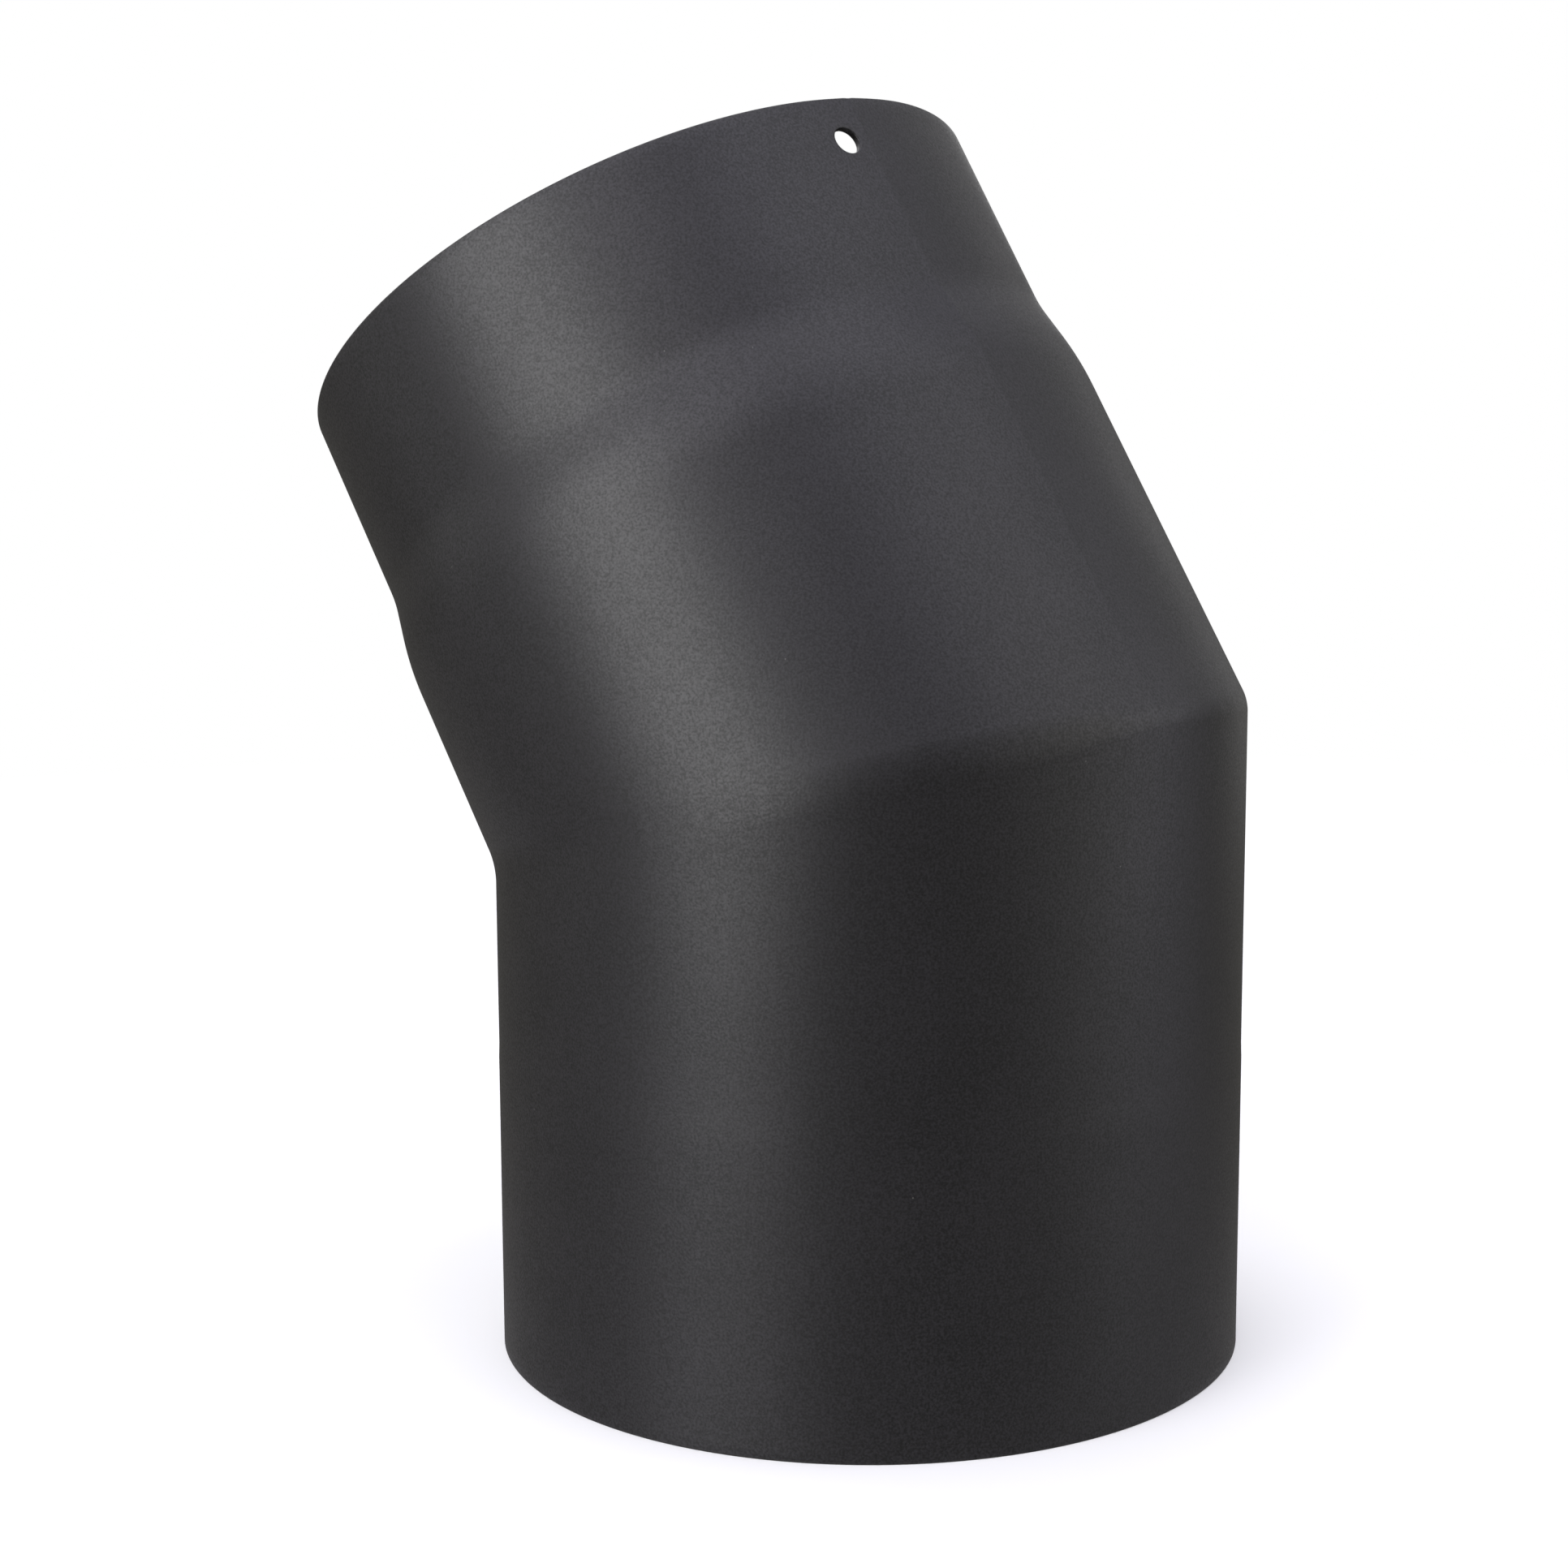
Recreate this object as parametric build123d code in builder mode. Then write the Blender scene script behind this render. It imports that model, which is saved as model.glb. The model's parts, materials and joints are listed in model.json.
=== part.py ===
"""Mitred flue elbow, 150 mm bore, 30 degrees, welded from two lengths of rolled steel pipe.

The origin is the centre of the lower rim. The lower pipe stands on +Z and the upper pipe leans
towards -X. Each pipe is a sheet rolled round and closed by one weld along its length. Lengths
are in millimetres and angles in degrees.
"""

from build123d import *
import math
import os

# Flue size
BORE_RADIUS = 75.0  # sized mouth of the lower pipe, for a 150 mm spigot
SHEET = 1.5
BEND = 30.0
LEG = 114.5  # from the mitre to either rim, along the pipe's axis
RIM_BREAK = 0.3  # rounding of the cut edges at both rims

# Lower pipe: the mouth is sized over its depth, and the rest is left as rolled
MOUTH_DEPTH = 60.0
MOUTH_RUNOUT = 3.0
SIZING_STEP = 0.1

# Upper pipe: the end is swaged down to a spigot
SPIGOT_RADIUS = 73.8
SPIGOT_LENGTH = 39.5
SWAGE_LENGTH = 19.5
SWAGE_SLOPE = 10.0
SWAGE_ROOT_RADIUS = 4.0

# Hole through the spigot wall
HOLE_RADIUS = 2.8
HOLE_FROM_RIM = 9.3
HOLE_AZIMUTH = -16.1

# Welds
MITRE_WELD_HALF_WIDTH = 2.4
MITRE_ROOT_HEIGHT = 0.5
SEAM_ARC = 2.2
SEAM_ROOT_HEIGHT = 0.3
UPPER_SEAM_AZIMUTH = -12.0
LOWER_SEAM_AZIMUTH = UPPER_SEAM_AZIMUTH + 180.0  # both pipes come from one cut and half a turn

# Worked out from the driving dimensions
PIPE_OUTER_RADIUS = BORE_RADIUS - SIZING_STEP + SHEET
MITRE_ANGLE = BEND / 2
MITRE_SINE = math.sin(math.radians(MITRE_ANGLE))
MITRE_COSINE = math.cos(math.radians(MITRE_ANGLE))
LONG_SIDE = LEG + PIPE_OUTER_RADIUS * MITRE_SINE / MITRE_COSINE + MITRE_WELD_HALF_WIDTH
SWAGE_START = LEG - SPIGOT_LENGTH - SWAGE_LENGTH
SWAGE_DROP = PIPE_OUTER_RADIUS - SPIGOT_RADIUS
SWAGE_RUN = SWAGE_DROP / math.tan(math.radians(SWAGE_SLOPE))
SWAGE_SHOULDER_RADIUS = (SWAGE_LENGTH - SWAGE_RUN) / math.tan(math.radians(SWAGE_SLOPE / 2))

# Axes of the two pipes, and the directions that count as azimuth 0 around them
LOWER_AXIS = Axis.Z
UPPER_AXIS = Axis(
    (0, 0, LEG),
    (-math.sin(math.radians(BEND)), 0, math.cos(math.radians(BEND))),
)
LOWER_ZERO = Vector(1, 0, 0)
UPPER_ZERO = Vector(math.cos(math.radians(BEND)), 0, math.sin(math.radians(BEND)))


def wall_plane(axis, zero, azimuth):
    """Plane through a pipe's axis: local X points out at the azimuth, local Y runs up the pipe."""
    outward = zero.rotate(Axis((0, 0, 0), axis.direction), azimuth)
    return Plane(origin=axis.position, x_dir=outward, z_dir=outward.cross(axis.direction))


def mitre_plane(height, shift=0.0):
    """Plane parallel to the mitre, at a height over it, with its origin shifted along its X."""
    normal = Vector(-MITRE_SINE, 0, MITRE_COSINE)
    across = Vector(MITRE_COSINE, 0, MITRE_SINE)
    return Plane(
        origin=Vector(0, 0, LEG) + normal * height + across * shift,
        x_dir=across,
        z_dir=normal,
    )


def lower_wall(azimuth, root_height=0.0):
    """Section of the lower pipe's wall, thicker inside by root_height."""
    inner = BORE_RADIUS - root_height
    outer = BORE_RADIUS + SHEET
    runout_end = MOUTH_DEPTH + MOUTH_RUNOUT
    with BuildSketch(wall_plane(LOWER_AXIS, LOWER_ZERO, azimuth)) as section:
        with BuildLine():
            Polyline(
                (inner, 0),
                (outer, 0),
                (outer, MOUTH_DEPTH),
                (outer - SIZING_STEP, runout_end),
                (outer - SIZING_STEP, LONG_SIDE),
                (inner - SIZING_STEP, LONG_SIDE),
                (inner - SIZING_STEP, runout_end),
                (inner, MOUTH_DEPTH),
                close=True,
            )
        make_face()
        fillet(section.vertices().group_by(Axis.Y)[0], radius=RIM_BREAK)
    return section.sketch


def upper_wall(azimuth, root_height=0.0):
    """Section of the upper pipe's wall with its swage and spigot, thicker inside by root_height."""
    start = LEG - LONG_SIDE
    with BuildSketch(wall_plane(UPPER_AXIS, UPPER_ZERO, azimuth)) as section:
        with BuildLine():
            FilletPolyline(
                (PIPE_OUTER_RADIUS, start),
                (PIPE_OUTER_RADIUS, SWAGE_START + SWAGE_LENGTH - SWAGE_RUN),
                (SPIGOT_RADIUS, SWAGE_START + SWAGE_LENGTH),
                (SPIGOT_RADIUS, LEG),
                radius=[SWAGE_SHOULDER_RADIUS, SWAGE_ROOT_RADIUS],
            )
            offset(amount=SHEET + root_height, side=Side.LEFT)
        make_face()
        fillet(section.vertices().group_by(Axis.Y)[-1], radius=RIM_BREAK)
    return section.sketch


# The lower pipe starts and ends at its seam weld, and is cut off below the mitre weld
with BuildPart() as lower_pipe:
    revolve(
        lower_wall(LOWER_SEAM_AZIMUTH + SEAM_ARC / 2),
        axis=LOWER_AXIS,
        revolution_arc=360 - SEAM_ARC,
    )
    split(bisect_by=mitre_plane(-MITRE_WELD_HALF_WIDTH), keep=Keep.BOTTOM)

lower_pipe.part.label = "lower_pipe"

with BuildPart() as lower_seam_weld:
    revolve(
        lower_wall(LOWER_SEAM_AZIMUTH - SEAM_ARC / 2, SEAM_ROOT_HEIGHT),
        axis=LOWER_AXIS,
        revolution_arc=SEAM_ARC,
    )
    split(bisect_by=mitre_plane(-MITRE_WELD_HALF_WIDTH), keep=Keep.BOTTOM)

lower_seam_weld.part.label = "lower_seam_weld"

# The upper pipe is cut off above the mitre weld, and its spigot wall is drilled
with BuildPart() as upper_pipe:
    revolve(
        upper_wall(UPPER_SEAM_AZIMUTH + SEAM_ARC / 2),
        axis=UPPER_AXIS,
        revolution_arc=360 - SEAM_ARC,
    )
    split(bisect_by=mitre_plane(MITRE_WELD_HALF_WIDTH), keep=Keep.TOP)
    hole_section = wall_plane(UPPER_AXIS, UPPER_ZERO, HOLE_AZIMUTH)
    hole_centre = hole_section.from_local_coords((SPIGOT_RADIUS, LEG - HOLE_FROM_RIM, 0))
    with BuildSketch(Plane(origin=hole_centre, z_dir=hole_section.x_dir)):
        Circle(HOLE_RADIUS)
    extrude(amount=2 * SHEET, both=True, mode=Mode.SUBTRACT)

upper_pipe.part.label = "upper_pipe"

with BuildPart() as upper_seam_weld:
    revolve(
        upper_wall(UPPER_SEAM_AZIMUTH - SEAM_ARC / 2, SEAM_ROOT_HEIGHT),
        axis=UPPER_AXIS,
        revolution_arc=SEAM_ARC,
    )
    split(bisect_by=mitre_plane(MITRE_WELD_HALF_WIDTH), keep=Keep.TOP)

upper_seam_weld.part.label = "upper_seam_weld"

# The mitre weld is ground to a smooth curve outside and stands proud as a root bead inside.
# Its sections are the ellipses that the two pipes leave in planes parallel to the mitre.
BLEND_SHIFT = MITRE_WELD_HALF_WIDTH * MITRE_SINE / MITRE_COSINE
WELD_SECTIONS = [
    (-MITRE_WELD_HALF_WIDTH, -BLEND_SHIFT, 0.0),
    (0.0, -BLEND_SHIFT / 2, MITRE_ROOT_HEIGHT),
    (MITRE_WELD_HALF_WIDTH, -BLEND_SHIFT, 0.0),
]

with BuildPart() as mitre_weld:
    for height, shift, _ in WELD_SECTIONS:
        with BuildSketch(mitre_plane(height, shift)):
            Ellipse(PIPE_OUTER_RADIUS / MITRE_COSINE, PIPE_OUTER_RADIUS)
    loft()
    for height, shift, root in WELD_SECTIONS:
        with BuildSketch(mitre_plane(height, shift)):
            inner = PIPE_OUTER_RADIUS - SHEET - root
            Ellipse(inner / MITRE_COSINE, inner)
    loft(mode=Mode.SUBTRACT)

mitre_weld.part.label = "mitre_weld"

os.makedirs("parts", exist_ok=True)
for piece in (lower_pipe, lower_seam_weld, mitre_weld, upper_pipe, upper_seam_weld):
    export_step(piece.part, f"parts/{piece.part.label}.step")
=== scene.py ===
"""Looks of a welded flue elbow: painted steel outside, bare steel inside, on a plain pale floor.

Lengths are in metres and angles in radians. Both pipes count azimuth round their own axis from the
outside of the bend, and distance along it away from the mitre's centre. The same azimuth on both
pipes meets at one point of the mitre, so every piece shares one set of columns of vertices.
"""

import json
import math

import bmesh
import bpy
import numpy as np
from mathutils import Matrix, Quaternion, Vector


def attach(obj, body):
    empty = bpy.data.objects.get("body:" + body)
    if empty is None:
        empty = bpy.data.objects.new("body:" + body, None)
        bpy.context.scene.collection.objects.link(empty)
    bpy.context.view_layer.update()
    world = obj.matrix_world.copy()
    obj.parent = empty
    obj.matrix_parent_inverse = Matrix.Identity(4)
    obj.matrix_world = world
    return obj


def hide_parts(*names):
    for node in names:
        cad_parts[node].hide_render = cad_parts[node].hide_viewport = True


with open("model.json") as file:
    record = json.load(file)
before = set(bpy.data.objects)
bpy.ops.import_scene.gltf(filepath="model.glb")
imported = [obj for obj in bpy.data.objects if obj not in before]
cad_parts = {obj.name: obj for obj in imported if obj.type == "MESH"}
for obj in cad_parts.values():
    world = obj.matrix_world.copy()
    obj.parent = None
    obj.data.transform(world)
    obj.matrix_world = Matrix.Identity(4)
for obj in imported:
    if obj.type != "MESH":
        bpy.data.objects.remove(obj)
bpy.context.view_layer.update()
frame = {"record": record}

MM = 0.001

# Sizes that the frame gives
MOUNTS = {mount["name"]: mount for mount in frame["record"]["mounts"]}
BORE_RADIUS = MOUNTS["lower_socket"]["dims"]["r_mm"] * MM
SPIGOT_RADIUS = MOUNTS["upper_spigot"]["dims"]["r_mm"] * MM
UPPER_DIRECTION = np.array(MOUNTS["upper_spigot"]["axis"])
UPPER_RIM_CENTRE = np.array(MOUNTS["upper_spigot"]["pos_m"])
LEG = UPPER_RIM_CENTRE[0] / UPPER_DIRECTION[0]
BEND = math.acos(UPPER_DIRECTION[2])
MITRE_CENTRE = np.array([0.0, 0.0, LEG])
MITRE_SINE = math.sin(BEND / 2)
MITRE_COSINE = math.cos(BEND / 2)

# Sheet, mouth and swage
SHEET = 1.5 * MM
SIZING_STEP = 0.1 * MM
MOUTH_DEPTH = 60 * MM
MOUTH_RUNOUT = 3 * MM
PIPE_RADIUS = BORE_RADIUS - SIZING_STEP + SHEET
SPIGOT_LENGTH = 41 * MM
SWAGE_LENGTH = 19.7 * MM
SWAGE_SLOPE = math.radians(10.5)
SWAGE_ROOT_RADIUS = 30 * MM
RIM_BREAK = 0.3 * MM

# Hole through the spigot wall, and the patch of the wall's grid that it sits in
HOLE_RADIUS = 2.8 * MM
HOLE_FROM_RIM = 9.3 * MM
HOLE_AZIMUTH = math.radians(-16.1)
HOLE_EDGE = 0.3 * MM
HOLE_PATCH = 8.6 * MM
HOLE_PATCH_CELLS = 9

# Welds
WELD_NARROW, WELD_WIDE = 2.0 * MM, 3.8 * MM
WELD_NARROW_CENTRE = math.radians(16)
WELD_WIDENS = (math.radians(28), math.radians(52))
ROOT_HALF_WIDTH = 2.0 * MM
MITRE_ROOT_HEIGHT = 0.5 * MM
ROOT_RIPPLES = (31, 47, 59, 73, 97, 131)
ROOT_LEVEL, ROOT_SWING = 0.75, 0.5
GRIND_DEPTH = 0.04 * MM
SEAM_ARC = math.radians(2.2)
SEAM_ROOT_HEIGHT = 0.3 * MM
SEAM_CAP_HEIGHT = 0.02 * MM
SEAM_END_NOTCH = 0.12 * MM
NOTCH_REACH = 2 * MM
NOTCH_SHARPNESS = 3
UPPER_SEAM = math.radians(-12)
LOWER_SEAM = UPPER_SEAM + math.pi

# How far the sheet is from round: flats beside the seams, and slow waves all over
SEAM_FLAT_DEPTH = 0.13 * MM
SEAM_FLAT_REACH = 5 * MM
WAVE_HEIGHT = 0.045 * MM
WAVE_CREST = 0.9
WAVE_LENGTHS = (28 * MM, 70 * MM)
WAVE_COUNT = 7
WAVE_SEED, RIPPLE_SEED = 11, 5

# Columns and rows of vertices
SEAM_COLUMNS = 6
HALF_TURN_COLUMNS = 246
ROW_PITCH = 2.2 * MM
EDGE_STEPS = 4
SWAGE_STEPS = 8
WELD_STEPS = 12
SMOOTH_BELOW = math.radians(40)

PAINT, STEEL = 0, 1


def column_azimuths():
    """Azimuths of one turn of columns, from the upper seam's end round to its start."""
    half_turn = math.pi - SEAM_ARC
    start = UPPER_SEAM + SEAM_ARC / 2
    azimuths = []
    for _ in range(2):
        azimuths.extend(start + half_turn * np.arange(HALF_TURN_COLUMNS) / HALF_TURN_COLUMNS)
        start += half_turn
        azimuths.extend(start + SEAM_ARC * np.arange(SEAM_COLUMNS) / SEAM_COLUMNS)
        start += SEAM_ARC
    return np.array(azimuths)


AZIMUTHS = column_azimuths()
TURN = len(AZIMUTHS)
LOWER_SEAM_START = HALF_TURN_COLUMNS
UPPER_SEAM_START = TURN - SEAM_COLUMNS


def columns(first, last):
    """Azimuths of the columns from first to last, counting on past one full turn."""
    index = np.arange(first, last + 1)
    return AZIMUTHS[index % TURN] + 2 * math.pi * (index // TURN)


def make_waves():
    """Directions, wave numbers and phases of the sheet's slow waves."""
    random = np.random.default_rng(WAVE_SEED)
    directions = random.normal(size=(WAVE_COUNT, 3))
    directions /= np.linalg.norm(directions, axis=1)[:, None]
    lengths = random.uniform(*WAVE_LENGTHS, WAVE_COUNT)
    phases = random.uniform(0, 2 * math.pi, WAVE_COUNT)
    return directions * (2 * math.pi / lengths)[:, None], phases


WAVE_VECTORS, WAVE_PHASES = make_waves()


def wave_lift(points):
    """Lift of the sheet at these points, at most zero so that it stays inside the round pipe."""
    waves = np.sin(points @ WAVE_VECTORS.T + WAVE_PHASES).mean(axis=-1)
    return WAVE_HEIGHT * (waves - WAVE_CREST)


def seam_lift(azimuth, seam):
    """Inward sag of the flats on both sides of a seam, which stands as a low ridge between them."""
    from_seam = (azimuth - seam + math.pi) % (2 * math.pi) - math.pi
    reach = np.abs(from_seam) * PIPE_RADIUS / SEAM_FLAT_REACH
    return -SEAM_FLAT_DEPTH * reach * np.exp(1 - reach)


class Pipe:
    """One pipe: side is +1 where distance runs along direction, and -1 where it runs against it."""

    def __init__(self, direction, side, seam):
        self.direction = np.array(direction, dtype=float)
        self.across = np.array([0.0, 1.0, 0.0])
        self.zero = np.cross(self.across, self.direction)
        self.side = side
        self.seam = seam

    def outward(self, azimuth):
        azimuth = np.asarray(azimuth)[..., None]
        return np.cos(azimuth) * self.zero + np.sin(azimuth) * self.across

    def points(self, radius, azimuth, distance):
        """Points of the uneven sheet at these cylinder coordinates."""
        radius, azimuth, distance = np.broadcast_arrays(radius, azimuth, distance)
        outward = self.outward(azimuth)
        on_axis = MITRE_CENTRE + self.side * distance[..., None] * self.direction
        lift = wave_lift(on_axis + PIPE_RADIUS * outward) + seam_lift(azimuth, self.seam)
        return on_axis + (radius + lift)[..., None] * outward


LOWER = Pipe((0, 0, 1), -1, LOWER_SEAM)
UPPER = Pipe(UPPER_DIRECTION, +1, UPPER_SEAM)


def weld_half_width(azimuth):
    """The mitre weld is ground narrow on the outside of the bend, and wider round the rest."""
    from_centre = np.abs((azimuth - WELD_NARROW_CENTRE + math.pi) % (2 * math.pi) - math.pi)
    start, end = WELD_WIDENS
    share = np.clip((from_centre - start) / (end - start), 0, 1)
    return WELD_NARROW + (WELD_WIDE - WELD_NARROW) * share**2 * (3 - 2 * share)


def distance_to_mitre(radius, azimuth):
    """Distance along either pipe at which its wall would meet the mitre's plane."""
    return -radius * np.cos(azimuth) * MITRE_SINE / MITRE_COSINE


def distance_to_weld(radius, azimuth):
    """Distance along either pipe at which its wall meets the edge of the mitre weld."""
    return distance_to_mitre(radius, azimuth) + weld_half_width(azimuth) / MITRE_COSINE


class Stations:
    """Rings of a pipe's wall, from the mitre weld to the rim.

    A ring lies at weight times the distance to the weld, plus a fixed distance.
    """

    def __init__(self):
        self.weight, self.fixed, self.outer, self.inner = [], [], [], []

    def add(self, fixed, outer, inner, weight=0.0):
        self.fixed.append(fixed)
        self.outer.append(outer)
        self.inner.append(inner)
        self.weight.append(weight)

    def add_body(self, stop, outer):
        """Rings spread evenly from the weld to stop, at one radius."""
        rows = round(stop / ROW_PITCH)
        for share in np.linspace(0, 1, rows, endpoint=False):
            self.add(share * stop, outer, outer - SHEET, 1 - share)

    def add_straight(self, start, stop, outer, rows=None):
        """Rings from start, up to but not at stop."""
        rows = rows or max(1, round((stop - start) / ROW_PITCH))
        for distance in np.linspace(start, stop, rows, endpoint=False):
            self.add(distance, outer, outer - SHEET)

    def arrays(self):
        return (np.array(a) for a in (self.weight, self.fixed, self.outer, self.inner))


def lower_stations():
    stations = Stations()
    runout_start = LEG - MOUTH_DEPTH - MOUTH_RUNOUT
    mouth_radius = BORE_RADIUS + SHEET
    stations.add_body(runout_start, PIPE_RADIUS)
    stations.add(runout_start, PIPE_RADIUS, PIPE_RADIUS - SHEET)
    stations.add_straight(LEG - MOUTH_DEPTH, LEG - RIM_BREAK, mouth_radius)
    stations.add(LEG - RIM_BREAK, mouth_radius, BORE_RADIUS)
    return stations


def swage_rings():
    """(distance, outer radius, slope) down the swage: a wide shoulder, a straight, a tight root."""
    drop = PIPE_RADIUS - SPIGOT_RADIUS
    run = drop / math.tan(SWAGE_SLOPE)
    shoulder = (SWAGE_LENGTH - run) / math.tan(SWAGE_SLOPE / 2)
    start = LEG - SPIGOT_LENGTH - SWAGE_LENGTH
    root_end = LEG - SPIGOT_LENGTH + SWAGE_ROOT_RADIUS * math.tan(SWAGE_SLOPE / 2)
    rings = []
    for slope in np.linspace(0, SWAGE_SLOPE, SWAGE_STEPS + 1):
        fall = shoulder * (1 - math.cos(slope))
        rings.append((start + shoulder * math.sin(slope), PIPE_RADIUS - fall, slope))
    for slope in np.linspace(SWAGE_SLOPE, 0, EDGE_STEPS + 1):
        rise = SWAGE_ROOT_RADIUS * (1 - math.cos(slope))
        rings.append((root_end - SWAGE_ROOT_RADIUS * math.sin(slope), SPIGOT_RADIUS + rise, slope))
    straight_start, straight_end = rings[SWAGE_STEPS], rings[SWAGE_STEPS + 1]
    rows = round((straight_end[0] - straight_start[0]) / ROW_PITCH)
    between = []
    for share in np.linspace(0, 1, rows + 1)[1:-1]:
        distance = straight_start[0] + share * (straight_end[0] - straight_start[0])
        radius = straight_start[1] + share * (straight_end[1] - straight_start[1])
        between.append((distance, radius, SWAGE_SLOPE))
    return rings[: SWAGE_STEPS + 1] + between + rings[SWAGE_STEPS + 1 :]


def upper_stations():
    """The upper pipe's rings, and the first ring of the patch that holds the hole."""
    stations = Stations()
    rings = swage_rings()
    stations.add_body(rings[0][0], PIPE_RADIUS)
    for distance, outer, slope in rings[:-1]:
        stations.add(distance, outer, outer - SHEET / math.cos(slope))
    patch_start = LEG - HOLE_FROM_RIM - HOLE_PATCH / 2
    patch_end = patch_start + HOLE_PATCH
    stations.add_straight(rings[-1][0], patch_start, SPIGOT_RADIUS)
    patch_first = len(stations.fixed)
    stations.add_straight(patch_start, patch_end, SPIGOT_RADIUS, HOLE_PATCH_CELLS)
    stations.add_straight(patch_end, LEG - RIM_BREAK, SPIGOT_RADIUS)
    stations.add(LEG - RIM_BREAK, SPIGOT_RADIUS, SPIGOT_RADIUS - SHEET)
    return stations, patch_first


def rim_points(outer, inner):
    """(radius, distance) over the rim, from past the outer wall to before the inner one."""
    points = []
    for turn in np.linspace(0, math.pi / 2, EDGE_STEPS + 1)[1:]:
        out = RIM_BREAK * (1 - math.cos(turn))
        points.append((outer - out, LEG - RIM_BREAK * (1 - math.sin(turn))))
    for turn in np.linspace(math.pi / 2, 0, EDGE_STEPS + 1)[:-1]:
        out = RIM_BREAK * (1 - math.cos(turn))
        points.append((inner + out, LEG - RIM_BREAK * (1 - math.sin(turn))))
    return np.array(points).T


class Solid:
    """Vertices, faces and face materials of one piece, collected before its mesh is made."""

    def __init__(self):
        self.vertices, self.faces, self.materials = [], [], []
        self.count = 0

    def add_vertices(self, points):
        """Adds points of any shape and returns their indices in the same shape."""
        points = np.asarray(points, dtype=float)
        shape = points.shape[:-1]
        size = int(np.prod(shape))
        self.vertices.append(points.reshape(-1, 3))
        indices = np.arange(self.count, self.count + size).reshape(shape)
        self.count += size
        return indices

    def add_face(self, face, material):
        self.faces.append([int(i) for i in face])
        self.materials.append(material)

    def add_grid(self, grid, material, skip=None):
        """Quads between the neighbours of a grid of indices, apart from the cells in skip."""
        for i in range(grid.shape[0] - 1):
            for j in range(grid.shape[1] - 1):
                if skip and i in skip[0] and j in skip[1]:
                    continue
                corners = (grid[i, j], grid[i + 1, j], grid[i + 1, j + 1], grid[i, j + 1])
                self.add_face(corners, material)

    def build(self, name, replaced):
        """Makes the object, with its normals out and its corners sharp."""
        mesh = bpy.data.meshes.new(name)
        mesh.from_pydata(np.concatenate(self.vertices).tolist(), [], self.faces)
        mesh.materials.append(material_named("flue_paint"))
        mesh.materials.append(material_named("bare_steel"))
        mesh.polygons.foreach_set("material_index", self.materials)
        editable = bmesh.new()
        editable.from_mesh(mesh)
        bmesh.ops.recalc_face_normals(editable, faces=editable.faces)
        editable.to_mesh(mesh)
        editable.free()
        mesh.shade_smooth()
        mesh.set_sharp_from_angle(angle=SMOOTH_BELOW)
        piece = bpy.data.objects.new(name, mesh)
        bpy.context.scene.collection.objects.link(piece)
        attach(piece, "root")
        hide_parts(replaced)


def wall_grids(solid, pipe, azimuths, stations, outer_lift=0.0, inner_lift=0.0, notch=0.0):
    """Adds a wall's vertices and returns index grids of its outside, rim and inside.

    Each grid has one row per column of vertices. A notch shortens the wall at its rim.
    """
    weight, fixed, outer, inner = stations.arrays()
    azimuth = azimuths[:, None]

    def column(values):
        return np.broadcast_to(np.asarray(values, dtype=float), azimuths.shape)[:, None]

    def surface(radius, lift):
        distance = fixed + weight * distance_to_weld(radius, azimuth)
        near_rim = np.clip(1 - (LEG - distance) / NOTCH_REACH, 0, 1)
        distance = distance - column(notch) * near_rim
        return solid.add_vertices(pipe.points(radius + column(lift), azimuth, distance))

    rim_radius, rim_distance = rim_points(outer[-1], inner[-1])
    rim = pipe.points(rim_radius + 0 * azimuth, azimuth, rim_distance - column(notch))
    return surface(outer, outer_lift), solid.add_vertices(rim), surface(inner, inner_lift)


def add_wall(solid, grids, skip=None):
    """Faces of an open-ended wall: outside, rim, inside and the cut face at the mitre weld."""
    outside, rim, inside = grids
    over_rim = np.hstack([outside[:, -1:], rim, inside[:, -1:]])
    solid.add_grid(outside, PAINT, skip)
    solid.add_grid(over_rim, PAINT)
    solid.add_grid(inside, STEEL, skip)
    solid.add_grid(np.hstack([outside[:, :1], inside[:, :1]]), STEEL)


def add_wall_ends(solid, grids):
    """Closes a wall that doesn't go all the way round, on its first and last columns."""
    outside, rim, inside = grids
    for end in (0, -1):
        solid.add_grid(np.stack([outside[end], inside[end]]), STEEL)
        solid.add_face([outside[end, -1], *rim[end], inside[end, -1]], STEEL)


def across_seam(azimuths, seam):
    """0 at a seam's edges and 1 along its middle."""
    return 1 - ((azimuths - seam + math.pi) % (2 * math.pi) - math.pi) ** 2 / (SEAM_ARC / 2) ** 2


def make_lower_pipe():
    solid = Solid()
    azimuths = columns(LOWER_SEAM_START + SEAM_COLUMNS, LOWER_SEAM_START + TURN)
    grids = wall_grids(solid, LOWER, azimuths, lower_stations())
    add_wall(solid, grids)
    add_wall_ends(solid, grids)
    solid.build("lower_pipe_shell", "lower_pipe")


def make_seam(name, replaced, pipe, start, stations, notch=0.0):
    """A seam weld: its cap is ground nearly flush, and its root stands proud inside."""
    solid = Solid()
    azimuths = columns(start, start + SEAM_COLUMNS)
    crown = across_seam(azimuths, pipe.seam)
    grids = wall_grids(
        solid,
        pipe,
        azimuths,
        stations,
        outer_lift=SEAM_CAP_HEIGHT * crown,
        inner_lift=-SEAM_ROOT_HEIGHT * crown,
        notch=notch * np.clip(crown, 0, 1) ** NOTCH_SHARPNESS,
    )
    add_wall(solid, grids)
    add_wall_ends(solid, grids)
    solid.build(name, replaced)


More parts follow.
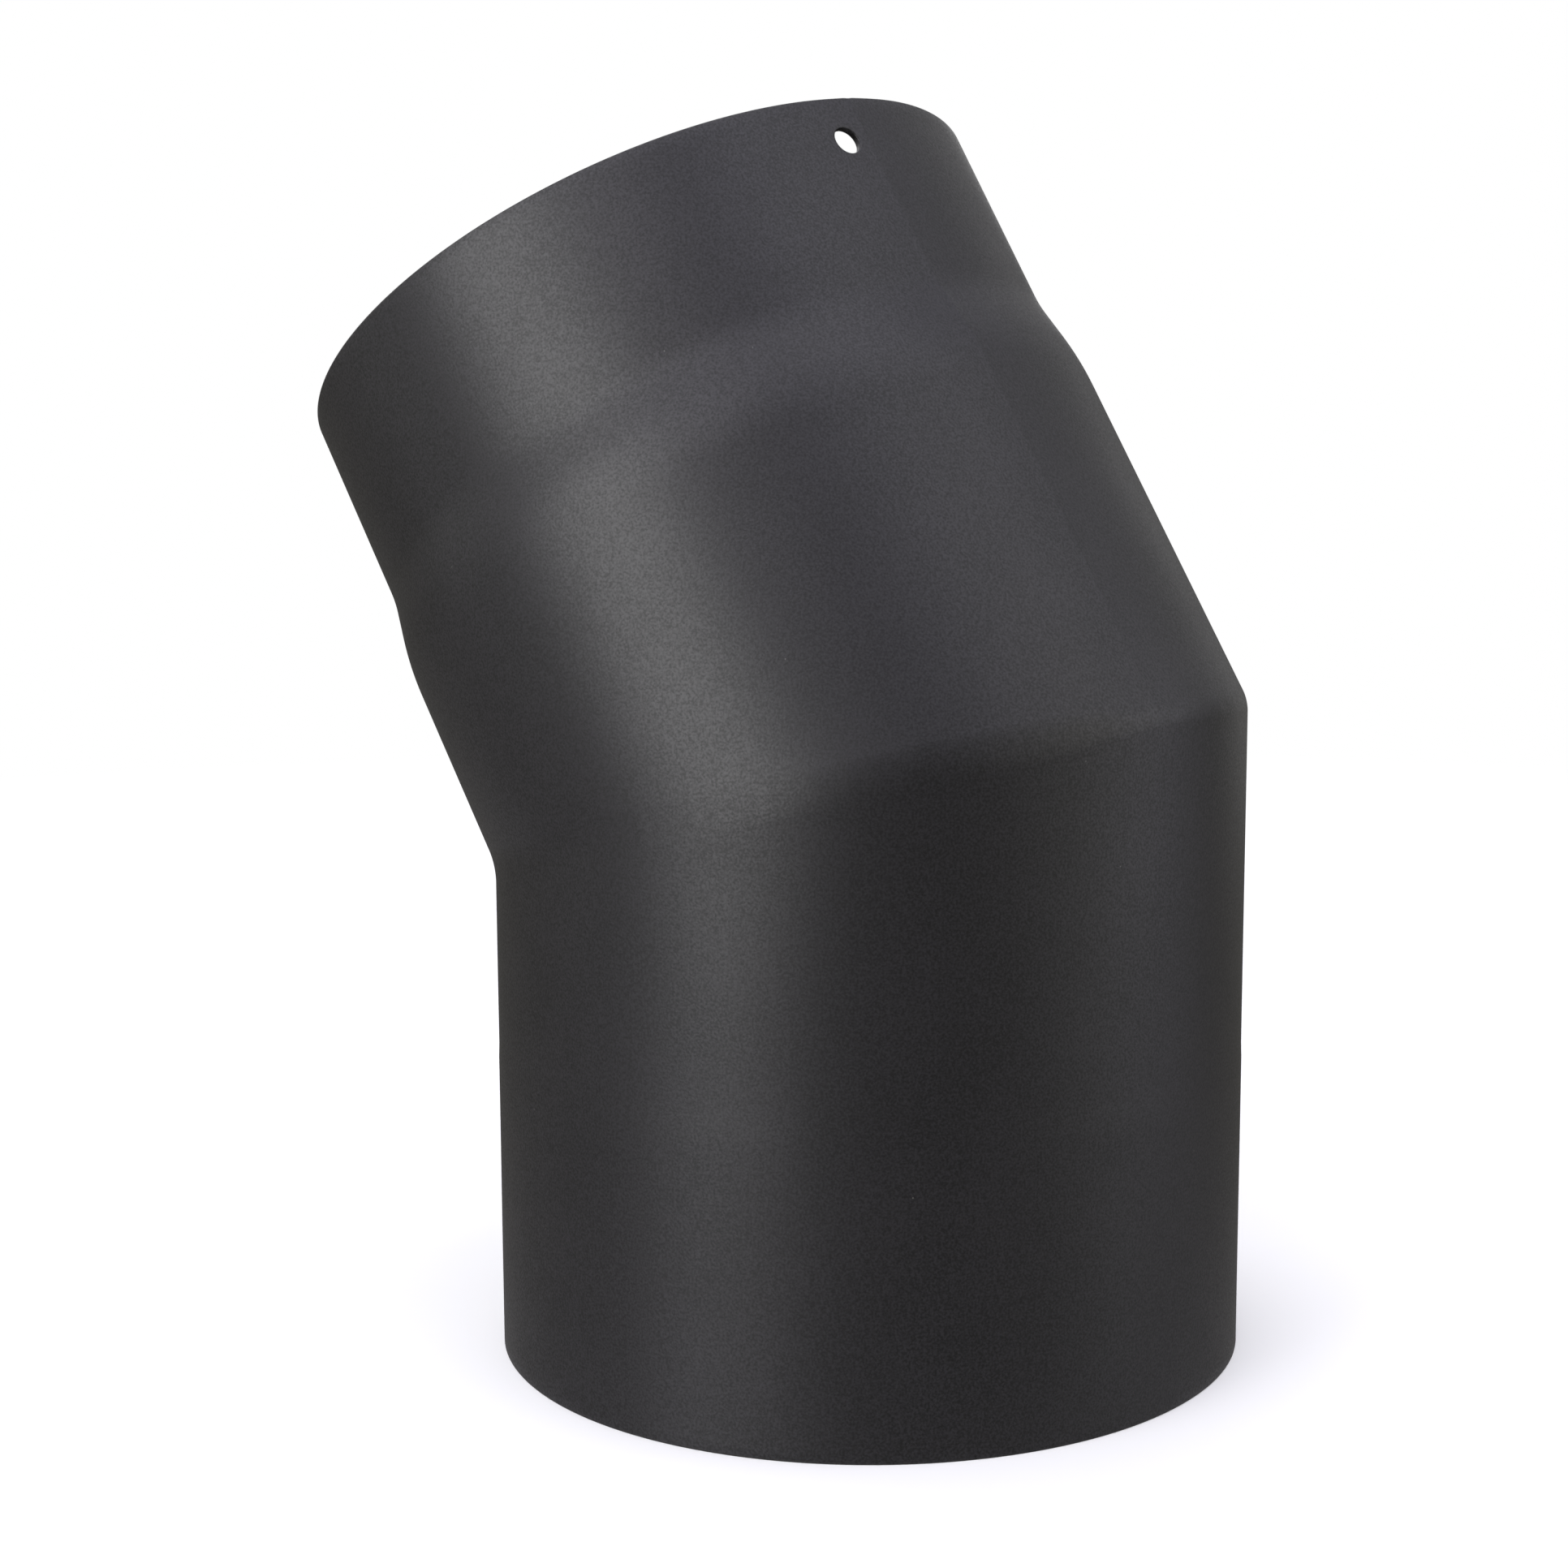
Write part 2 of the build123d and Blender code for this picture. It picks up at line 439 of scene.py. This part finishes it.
def patch_border(grid, first_column, first_row):
    """Indices round the border of the hole's patch, once round."""
    last_column, last_row = first_column + HOLE_PATCH_CELLS, first_row + HOLE_PATCH_CELLS
    places = [(c, first_row) for c in range(first_column, last_column)]
    places += [(last_column, r) for r in range(first_row, last_row)]
    places += [(c, last_row) for c in range(last_column, first_column, -1)]
    places += [(first_column, r) for r in range(last_row, first_row, -1)]
    return places, np.array([grid[place] for place in places])


def add_hole(solid, grids, azimuths, stations, first_column, first_row):
    """Fills the patch with rings that close in on the hole, and lines the hole."""
    outside, _, inside = grids
    _, fixed, _, _ = stations.arrays()
    places, outer_border = patch_border(outside, first_column, first_row)
    _, inner_border = patch_border(inside, first_column, first_row)
    turn = azimuths[[c for c, _ in places]] - 2 * math.pi - HOLE_AZIMUTH
    up = fixed[[r for _, r in places]] - (LEG - HOLE_FROM_RIM)

    def ring(radius, x, y):
        azimuth = HOLE_AZIMUTH + np.arcsin(x / radius)
        points = UPPER.points(radius, azimuth, LEG - HOLE_FROM_RIM + y)
        return solid.add_vertices(points)

    def closing_rings(radius):
        """Rings from the border in to the hole's edge, on the wall at this radius."""
        x, y = radius * np.sin(turn), up
        bearing = np.arctan2(y, x)
        edge_x = (HOLE_RADIUS + HOLE_EDGE) * np.cos(bearing)
        edge_y = (HOLE_RADIUS + HOLE_EDGE) * np.sin(bearing)
        shares = np.linspace(0, 1, EDGE_STEPS + 1)[1:]
        return [ring(radius, x + s * (edge_x - x), y + s * (edge_y - y)) for s in shares], bearing

    outer_rings, bearing = closing_rings(SPIGOT_RADIUS)
    inner_rings, _ = closing_rings(SPIGOT_RADIUS - SHEET)
    lining = []
    bends = np.linspace(0, math.pi / 2, EDGE_STEPS + 1)[1:]
    profile = [(1 - math.sin(b), HOLE_EDGE * (1 - math.cos(b))) for b in bends]
    profile += [(1 - math.sin(b), SHEET - HOLE_EDGE * (1 - math.cos(b))) for b in bends[::-1]]
    for share, depth in profile:
        size = HOLE_RADIUS + HOLE_EDGE * share
        x, y = size * np.cos(bearing), size * np.sin(bearing)
        lining.append(ring(SPIGOT_RADIUS - depth, x, y))
    painted = [outer_border, *outer_rings, *lining, inner_rings[-1]]
    bare = [*inner_rings[::-1], inner_border]
    for rings, material in ((painted, PAINT), (bare, STEEL)):
        closed = np.array([np.append(r, r[0]) for r in rings])
        solid.add_grid(closed, material)


def make_upper_pipe():
    solid = Solid()
    stations, patch_row = upper_stations()
    azimuths = columns(0, UPPER_SEAM_START)
    patch_column = UPPER_SEAM_START - HOLE_PATCH_CELLS
    grids = wall_grids(solid, UPPER, azimuths, stations)
    skip = (
        range(patch_column, patch_column + HOLE_PATCH_CELLS),
        range(patch_row, patch_row + HOLE_PATCH_CELLS),
    )
    add_wall(solid, grids, skip)
    add_wall_ends(solid, grids)
    add_hole(solid, grids, azimuths, stations, patch_column, patch_row)
    solid.build("upper_pipe_shell", "upper_pipe")


def weld_curve(radius, azimuth):
    """Points across the mitre weld at each azimuth: a curve that leaves both pipes along them."""
    low = LOWER.points(radius, azimuth, distance_to_weld(radius, azimuth))
    high = UPPER.points(radius, azimuth, distance_to_weld(radius, azimuth))
    corner = distance_to_mitre(radius, azimuth)
    middle = (LOWER.points(radius, azimuth, corner) + UPPER.points(radius, azimuth, corner)) / 2
    share = np.linspace(0, 1, WELD_STEPS + 1)[:, None]
    terms = ((1 - share) ** 2, 2 * share * (1 - share), share**2)
    return sum(t * p[:, None, :] for t, p in zip(terms, (low, middle, high)))


def make_mitre_weld():
    """The mitre weld: ground smooth outside, with an uneven root bead inside."""
    solid = Solid()
    azimuths = columns(0, TURN - 1)
    crown = 1 - np.linspace(-1, 1, WELD_STEPS + 1) ** 2
    random = np.random.default_rng(RIPPLE_SEED)
    phases = random.uniform(0, 2 * math.pi, len(ROOT_RIPPLES))
    ripple = np.sin(azimuths[:, None] * np.array(ROOT_RIPPLES) + phases).mean(axis=1)
    half_way = (LOWER.outward(azimuths) + UPPER.outward(azimuths))[:, None, :] / 2
    outer = weld_curve(PIPE_RADIUS, azimuths)
    outer = outer + (GRIND_DEPTH * (ripple[:, None] - 1) * crown)[..., None] * half_way
    inner = weld_curve(PIPE_RADIUS - SHEET, azimuths)
    across = np.linspace(-1, 1, WELD_STEPS + 1) * weld_half_width(azimuths)[:, None]
    root_crown = np.clip(1 - (across / ROOT_HALF_WIDTH) ** 2, 0, 1)
    root = MITRE_ROOT_HEIGHT * (ROOT_LEVEL + ROOT_SWING * ripple[:, None]) * root_crown
    inner = inner - root[..., None] * half_way
    outside = solid.add_vertices(outer)
    inside = solid.add_vertices(inner)
    closed = [np.vstack([grid, grid[:1]]) for grid in (outside, inside)]
    solid.add_grid(closed[0], PAINT)
    solid.add_grid(closed[1], STEEL)
    for edge in (0, -1):
        solid.add_grid(np.stack([closed[0][:, edge], closed[1][:, edge]]), STEEL)
    solid.build("mitre_weld_bead", "mitre_weld")


def material_named(name):
    return bpy.data.materials.get(name) or bpy.data.materials.new(name)


class Nodes:
    """A short way to add and join a material's nodes."""

    def __init__(self, material):
        material.use_nodes = True
        self.tree = material.node_tree
        self.tree.nodes.clear()

    def add(self, kind, inputs=None, **settings):
        node = self.tree.nodes.new(kind)
        for key, value in settings.items():
            setattr(node, key, value)
        for key, value in (inputs or {}).items():
            if isinstance(value, bpy.types.NodeSocket):
                self.tree.links.new(value, node.inputs[key])
            else:
                node.inputs[key].default_value = value
        return node

    def math(self, operation, *values, clamp=False):
        inputs = dict(enumerate(values))
        return self.add("ShaderNodeMath", inputs, operation=operation, use_clamp=clamp).outputs[0]

    def noise(self, place, wavelength, detail=2.0, roughness=0.5):
        inputs = {
            "Vector": place,
            "Scale": 1 / wavelength,
            "Detail": detail,
            "Roughness": roughness,
        }
        return self.add("ShaderNodeTexNoise", inputs).outputs["Fac"]

    def spread(self, value, low, high, to_low, to_high):
        inputs = {
            "Value": value,
            "From Min": low,
            "From Max": high,
            "To Min": to_low,
            "To Max": to_high,
        }
        return self.add("ShaderNodeMapRange", inputs).outputs["Result"]

    def ramp(self, value, stops):
        """A colour ramp through (place, colour) stops."""
        node = self.add("ShaderNodeValToRGB", {"Fac": value})
        elements = node.color_ramp.elements
        for place, _ in stops[2:]:
            elements.new(place)
        for element, (place, colour) in zip(elements, stops):
            element.position = place
            element.color = [*colour, 1]
        return node.outputs["Color"]

    def dot(self, place, direction, point=(0, 0, 0)):
        """Distance of a place from the plane through point that faces direction."""
        inputs = {0: place, 1: tuple(direction)}
        node = self.add("ShaderNodeVectorMath", inputs, operation="DOT_PRODUCT")
        return self.math("SUBTRACT", node.outputs["Value"], float(np.dot(direction, point)))

    def mix(self, factor, a, b):
        node = self.add("ShaderNodeMix", data_type="RGBA")
        for socket, value in zip((node.inputs[0], node.inputs[6], node.inputs[7]), (factor, a, b)):
            if isinstance(value, bpy.types.NodeSocket):
                self.tree.links.new(value, socket)
            else:
                socket.default_value = value
        return node.outputs[2]


# Paint: how dark and rough it is, how much its grain changes that, and what lies on it. A pair that
# ends in LEVELS gives the noise values between which a feature grows from nothing to full.
PAINT_COLOUR = (0.0095, 0.0089, 0.0101)
WORN_COLOUR = (0.05, 0.047, 0.045)
DUST_COLOUR = (0.09, 0.088, 0.085)
PAINT_ROUGHNESS = 0.42
GRAIN = 0.45 * MM
CLOUDS = 20 * MM
CLOUD_SHARE = 0.18
GRAIN_LEVELS = (0.41, 0.77)
GRAIN_DEPTH = 0.022 * MM
GRAIN_IN_COLOUR = 0.95
GRAIN_IN_ROUGHNESS = 0.06
DUST_PITCH = 9 * MM
DUST_RADIUS = 0.18 * MM
DUST_CORE = 0.6
WORN_REACH = 0.5 * MM
WORN_PATCH = 3 * MM
WORN_LEVELS = (0.42, 0.62)
WORN_MOST = 0.8

# Bare steel inside: its own colours, the paint that drifts in past each rim, and the tint that
# welding leaves, from the weld's middle outwards
STEEL_COLOUR = (0.46, 0.45, 0.43)
STEEL_STAIN = (0.30, 0.275, 0.25)
STEEL_ROUGHNESS = (0.28, 0.42)
ROUGHNESS_LEVELS = (0.7, 1.3)
MILL = 26 * MM
SCRATCH = 1.2 * MM
SCRATCH_DEPTH = 0.02 * MM
SCRATCH_SHARE = 0.3
STAIN_LEVELS = (0.45, 0.95)
STAIN_MOST = 0.8
OVERSPRAY_REACH = 16 * MM
OVERSPRAY_WANDER = 6 * MM
OVERSPRAY_LENGTH = 14 * MM
OVERSPRAY_GRAIN = 0.9
OVERSPRAY_LEVELS = (0.55, 1.25)
NOISE_MIDDLE = (0.3, 0.7)
TINT_REACH = 10 * MM
TINT_WANDER = 1.2 * MM
TINT_LENGTH = 6 * MM
TINT = (
    (0.0, (0.20, 0.195, 0.19)),
    (0.18, (0.13, 0.13, 0.135)),
    (0.30, (0.075, 0.08, 0.11)),
    (0.42, (0.10, 0.10, 0.19)),
    (0.54, (0.19, 0.12, 0.13)),
    (0.68, (0.42, 0.32, 0.17)),
    (0.85, (0.45, 0.42, 0.36)),
    (1.0, STEEL_COLOUR),
)
RIPPLE_PITCH = 1.1 * MM
RIPPLE_DEPTH = 0.08 * MM
RIPPLE_SLANT = 0.6
BEAD_CORE = 0.6


def tinted(colour, share):
    """A colour made lighter or darker by a share of itself, with full alpha."""
    return [channel * share for channel in colour] + [1]


def from_rims(nodes, place):
    """Distance inwards from whichever rim is nearer."""
    lower = nodes.dot(place, -LOWER.direction * LOWER.side, (0, 0, 0))
    upper = nodes.dot(place, -UPPER.direction, UPPER_RIM_CENTRE)
    return nodes.math("MINIMUM", nodes.math("ABSOLUTE", lower), nodes.math("ABSOLUTE", upper))


def paint_grain(nodes, place):
    """The paint's colour, roughness and grain height at a place."""
    grain = nodes.noise(place, GRAIN, 1.0, 0.5)
    clouds = nodes.noise(place, CLOUDS, 2.0, 0.5)
    mixed = nodes.math("MULTIPLY_ADD", clouds, CLOUD_SHARE, grain)
    level = nodes.spread(mixed, *GRAIN_LEVELS, 0, 1)
    dark, light = (tinted(PAINT_COLOUR, 1 + g) for g in (-GRAIN_IN_COLOUR, GRAIN_IN_COLOUR))
    dull, shiny = PAINT_ROUGHNESS + GRAIN_IN_ROUGHNESS, PAINT_ROUGHNESS - GRAIN_IN_ROUGHNESS
    return nodes.mix(level, dark, light), nodes.spread(level, 0, 1, dull, shiny), grain


def paint_flue():
    """Matte charcoal heat-resistant paint: a fine pebbled grain, dust specks and rubbed rims."""
    nodes = Nodes(material_named("flue_paint"))
    place = nodes.add("ShaderNodeTexCoord").outputs["Object"]
    colour, roughness, grain = paint_grain(nodes, place)
    cells = nodes.add("ShaderNodeTexVoronoi", {"Vector": place, "Scale": 1 / DUST_PITCH})
    radius = DUST_RADIUS / DUST_PITCH
    speck = nodes.spread(cells.outputs["Distance"], radius * DUST_CORE, radius, 1, 0)
    colour = nodes.mix(speck, colour, [*DUST_COLOUR, 1])
    rubbed = nodes.spread(from_rims(nodes, place), 0, WORN_REACH, 1, 0)
    patches = nodes.noise(place, WORN_PATCH, 3.0, 0.6)
    patchy = nodes.spread(patches, *WORN_LEVELS, 0, WORN_MOST)
    colour = nodes.mix(nodes.math("MULTIPLY", rubbed, patchy), colour, [*WORN_COLOUR, 1])
    inputs = {"Strength": 1.0, "Distance": GRAIN_DEPTH, "Height": grain}
    bump = nodes.add("ShaderNodeBump", inputs)
    shader = nodes.add(
        "ShaderNodeBsdfPrincipled",
        {"Base Color": colour, "Roughness": roughness, "Normal": bump.outputs[0]},
    )
    nodes.add("ShaderNodeOutputMaterial", {"Surface": shader.outputs[0]})


def from_seam(nodes, place, pipe):
    """Distance from a pipe's seam, and a distance beyond any reach on the rest of its bore."""
    outward = pipe.outward(pipe.seam)
    sideways = np.cross(pipe.direction, outward)
    distance = nodes.math("ABSOLUTE", nodes.dot(place, sideways, MITRE_CENTRE))
    behind = nodes.math("LESS_THAN", nodes.dot(place, outward, MITRE_CENTRE), 0.0)
    return nodes.math("ADD", distance, behind)


def distances_to_welds(nodes, place):
    """Distance from the mitre's plane or the seam on the same pipe, whichever is nearer."""
    mitre_direction = (LOWER.direction + UPPER.direction) / (2 * MITRE_COSINE)
    above = nodes.dot(place, mitre_direction, MITRE_CENTRE)
    on_upper = nodes.math("GREATER_THAN", above, 0.0)
    on_lower = nodes.math("LESS_THAN", above, 0.0)
    lower_seam = nodes.math("ADD", from_seam(nodes, place, LOWER), on_upper)
    upper_seam = nodes.math("ADD", from_seam(nodes, place, UPPER), on_lower)
    seams = nodes.math("MINIMUM", lower_seam, upper_seam)
    return nodes.math("MINIMUM", nodes.math("ABSOLUTE", above), seams)


def bead_ripples(nodes, place, to_weld):
    """Height of the chevrons that the weld pool leaves along a root bead."""
    along = nodes.math("ADD", nodes.dot(place, LOWER.direction), nodes.dot(place, LOWER.across))
    chevron = nodes.math("MULTIPLY_ADD", to_weld, RIPPLE_SLANT, along)
    wave = nodes.math("SINE", nodes.math("MULTIPLY", chevron, 2 * math.pi / RIPPLE_PITCH))
    on_bead = nodes.spread(to_weld, ROOT_HALF_WIDTH * BEAD_CORE, ROOT_HALF_WIDTH, 1, 0)
    return nodes.math("MULTIPLY", wave, nodes.math("MULTIPLY", on_bead, RIPPLE_DEPTH / 2))


def finish_bare_steel():
    """Mill-finish steel, tinted beside its welds, with paint that drifted in past the rims."""
    nodes = Nodes(material_named("bare_steel"))
    place = nodes.add("ShaderNodeTexCoord").outputs["Object"]
    to_weld = distances_to_welds(nodes, place)

    wander = nodes.spread(nodes.noise(place, TINT_LENGTH, 2.0, 0.5), *NOISE_MIDDLE, -1, 1)
    ragged = nodes.math("MULTIPLY_ADD", wander, TINT_WANDER, to_weld)
    tint = nodes.ramp(nodes.spread(ragged, 0, TINT_REACH, 0, 1), TINT)
    mill = nodes.noise(place, MILL, 3.0, 0.5)
    scratches = nodes.noise(place, SCRATCH, 3.0, 0.7)
    stain = nodes.math("MULTIPLY_ADD", scratches, SCRATCH_SHARE, mill)
    stain = nodes.spread(stain, *STAIN_LEVELS, 0, STAIN_MOST)
    metal = nodes.mix(stain, tint, [*STEEL_STAIN, 1])
    both = nodes.math("ADD", mill, scratches)
    metal_roughness = nodes.spread(both, *ROUGHNESS_LEVELS, *STEEL_ROUGHNESS)

    drift = nodes.noise(place, OVERSPRAY_LENGTH, 2.0, 0.5)
    drift = nodes.spread(drift, *NOISE_MIDDLE, -0.5, 0.5)
    reach = nodes.math("MULTIPLY_ADD", drift, OVERSPRAY_WANDER, from_rims(nodes, place))
    paint_colour, paint_roughness, grain = paint_grain(nodes, place)
    cover = nodes.spread(reach, 0, OVERSPRAY_REACH, 1, 0)
    dusty = nodes.math("MULTIPLY_ADD", grain, OVERSPRAY_GRAIN, cover)
    covered = nodes.spread(dusty, *OVERSPRAY_LEVELS, 0, 1)
    colour = nodes.mix(covered, metal, paint_colour)
    metallic = nodes.math("SUBTRACT", 1.0, covered)
    rougher = nodes.math("SUBTRACT", paint_roughness, metal_roughness)
    roughness = nodes.math("ADD", metal_roughness, nodes.math("MULTIPLY", covered, rougher))

    ripples = bead_ripples(nodes, place, to_weld)
    height = nodes.math("MULTIPLY_ADD", scratches, SCRATCH_DEPTH, ripples)
    bump = nodes.add("ShaderNodeBump", {"Strength": 1.0, "Distance": 1.0, "Height": height})
    shader = nodes.add(
        "ShaderNodeBsdfPrincipled",
        {
            "Base Color": colour,
            "Metallic": metallic,
            "Roughness": roughness,
            "Normal": bump.outputs[0],
        },
    )
    nodes.add("ShaderNodeOutputMaterial", {"Surface": shader.outputs[0]})


# Camera, as the photographer stood: it looks at the mitre's centre. Its azimuth counts from -Y.
# These five values come from a fit of the model's outline to the photo's.
CAMERA_AZIMUTH = math.radians(34.02)
CAMERA_ELEVATION = math.radians(7.68)
CAMERA_DISTANCE = 521 * MM
CAMERA_LENS = 58.274
CAMERA_SHIFT = -0.05496
CAMERA_SENSOR = 36
CAMERA_CLIP = 10 * MM


def direction_to(azimuth, elevation):
    """Unit vector towards an azimuth from +X round to +Y, and an elevation."""
    level = math.cos(elevation)
    return Vector((math.cos(azimuth) * level, math.sin(azimuth) * level, math.sin(elevation)))


def place_camera():
    data = bpy.data.cameras.new("camera")
    data.lens = CAMERA_LENS
    data.sensor_width = CAMERA_SENSOR
    data.shift_x = CAMERA_SHIFT
    data.clip_start = CAMERA_CLIP
    camera = bpy.data.objects.new("camera", data)
    bpy.context.scene.collection.objects.link(camera)
    away = direction_to(CAMERA_AZIMUTH - math.pi / 2, CAMERA_ELEVATION)
    camera.location = Vector(MITRE_CENTRE) + CAMERA_DISTANCE * away
    camera.rotation_euler = away.to_track_quat("Z", "Y").to_euler()
    bpy.context.scene.camera = camera


# Softboxes: azimuth, elevation, roll, half width and half height in degrees as the elbow sees
# them, then distance, radiance and colour. The radiances and colours, and the room's brightness
# below, were fitted to the shading in the photo and then rounded.
NEAR, FAR = 0.9, 2.5
WHITE = (1, 1, 1)
COOL = (0.98, 0.96, 1.04)
VIOLET = (0.95, 0.94, 1.11)
WARM = (1.06, 1.02, 0.86)
SOFTBOXES = {
    "key": (-99.5, 12.7, 22, 16, 23, NEAR, 3.85, WHITE),
    "key_top": (-85, 42, 20, 18, 14, FAR, 2.1, COOL),
    "key_left": (-120, 15, 15, 10, 25, FAR, 0.9, COOL),
    "key_foot": (-100, -25, 0, 20, 10, FAR, 0.92, COOL),
    "fill": (15, 23, -35, 36, 36, FAR, 0.5, WHITE),
    "fill_core": (10, 18, 0, 18, 20, FAR, 0.55, WARM),
    "fill_edge": (35, 8, 0, 18, 22, FAR, 0.62, VIOLET),
    "fill_top": (0, 52, 0, 30, 12, FAR, 0.5, VIOLET),
    "fill_front": (-35, 57, 0, 20, 10, FAR, 0.5, VIOLET),
    "rear_right": (85, 22, 0, 16, 30, FAR, 0.35, WHITE),
    "rear_left": (-150, 20, 0, 16, 30, FAR, 0.38, WHITE),
    "rear": (150, 32, 0, 40, 24, FAR, 1.3, WHITE),
}
# Room: elevation in degrees, brightness and colour. Below the horizon it stands for the floor.
ROOM = (
    (-90, 0.3, WHITE),
    (-50, 0.3, WHITE),
    (-30, 0.55, COOL),
    (-15, 0.13, WARM),
    (0, 0.11, WARM),
    (30, 0.14, COOL),
    (60, 0.72, VIOLET),
    (90, 3.0, COOL),
)


def add_softbox(name, angles, distance, radiance, colour):
    """A rectangular studio light that faces the elbow."""
    azimuth, elevation, roll, half_width, half_height = (math.radians(a) for a in angles)
    width = 2 * distance * math.tan(half_width)
    height = 2 * distance * math.tan(half_height)
    data = bpy.data.lights.new(name, "AREA")
    data.shape = "RECTANGLE"
    data.size = width
    data.size_y = height
    data.energy = radiance * math.pi * width * height
    data.color = colour
    light = bpy.data.objects.new(name, data)
    bpy.context.scene.collection.objects.link(light)
    away = direction_to(azimuth, elevation)
    light.location = Vector(MITRE_CENTRE) + distance * away
    facing = away.to_track_quat("Z", "Y")
    light.rotation_euler = (facing @ Quaternion((0, 0, 1), roll)).to_euler()


def light_studio():
    """Softboxes in a dim room whose walls the camera sees as plain white."""
    world = bpy.data.worlds.new("studio")
    bpy.context.scene.world = world
    nodes = Nodes(world)
    direction = nodes.add("ShaderNodeTexCoord").outputs["Generated"]
    height = nodes.add("ShaderNodeSeparateXYZ", {"Vector": direction}).outputs["Z"]
    elevation = nodes.math("ARCSINE", height)
    share = nodes.spread(elevation, -math.pi / 2, math.pi / 2, 0, 1)
    stops = [((e + 90) / 180, [b * channel for channel in colour]) for e, b, colour in ROOM]
    room = nodes.ramp(share, stops)
    seen = nodes.add("ShaderNodeLightPath").outputs["Is Camera Ray"]
    background = nodes.add("ShaderNodeBackground", {"Color": nodes.mix(seen, room, (1, 1, 1, 1))})
    nodes.add("ShaderNodeOutputWorld", {"Surface": background.outputs[0]})
    for name, (*angles, distance, radiance, colour) in SOFTBOXES.items():
        add_softbox(name, angles, distance, radiance, colour)


# Floor: it glows a little, so that the lit part near the elbow comes out as white as the rest
FLOOR_RADIUS = 3.0
FLOOR_EDGES = 128
FLOOR_COLOUR = (0.8, 0.8, 0.8, 1)
FLOOR_GLOW = 0.2
FLOOR_FADE = (0.3, 1.0)


def lay_floor():
    """A pale floor that fades into the white room, and is clear from below.

    The elbow's gloss sees the room in its place.
    """
    bpy.ops.mesh.primitive_circle_add(vertices=FLOOR_EDGES, radius=FLOOR_RADIUS, fill_type="NGON")
    floor = bpy.context.object
    floor.name = "floor"
    nodes = Nodes(material_named("floor"))
    place = nodes.add("ShaderNodeTexCoord").outputs["Object"]
    length = nodes.add("ShaderNodeVectorMath", {0: place}, operation="LENGTH")
    fade = nodes.spread(length.outputs["Value"], *FLOOR_FADE, 0, 1)
    matte = nodes.add("ShaderNodeBsdfDiffuse", {"Color": FLOOR_COLOUR})
    glow = nodes.add("ShaderNodeEmission", {"Color": (1, 1, 1, 1), "Strength": FLOOR_GLOW})
    near = nodes.add("ShaderNodeAddShader", {0: matte.outputs[0], 1: glow.outputs[0]})
    far = nodes.add("ShaderNodeEmission", {"Color": (1, 1, 1, 1), "Strength": 1.0})
    above = nodes.add("ShaderNodeMixShader", {0: fade, 1: near.outputs[0], 2: far.outputs[0]})
    clear = nodes.add("ShaderNodeBsdfTransparent")
    below = nodes.add("ShaderNodeNewGeometry").outputs["Backfacing"]
    mixed = nodes.add("ShaderNodeMixShader", {0: below, 1: above.outputs[0], 2: clear.outputs[0]})
    nodes.add("ShaderNodeOutputMaterial", {"Surface": mixed.outputs[0]})
    floor.data.materials.append(material_named("floor"))
    floor.visible_glossy = False
    floor.visible_diffuse = False
    floor.visible_shadow = False


place_camera()
make_lower_pipe()
make_upper_pipe()
make_mitre_weld()
make_seam("lower_seam_bead", "lower_seam_weld", LOWER, LOWER_SEAM_START, lower_stations())
make_seam(
    "upper_seam_bead",
    "upper_seam_weld",
    UPPER,
    UPPER_SEAM_START,
    upper_stations()[0],
    SEAM_END_NOTCH,
)
paint_flue()
finish_bare_steel()
light_studio()
lay_floor()
bpy.context.scene.view_settings.view_transform = "Standard"
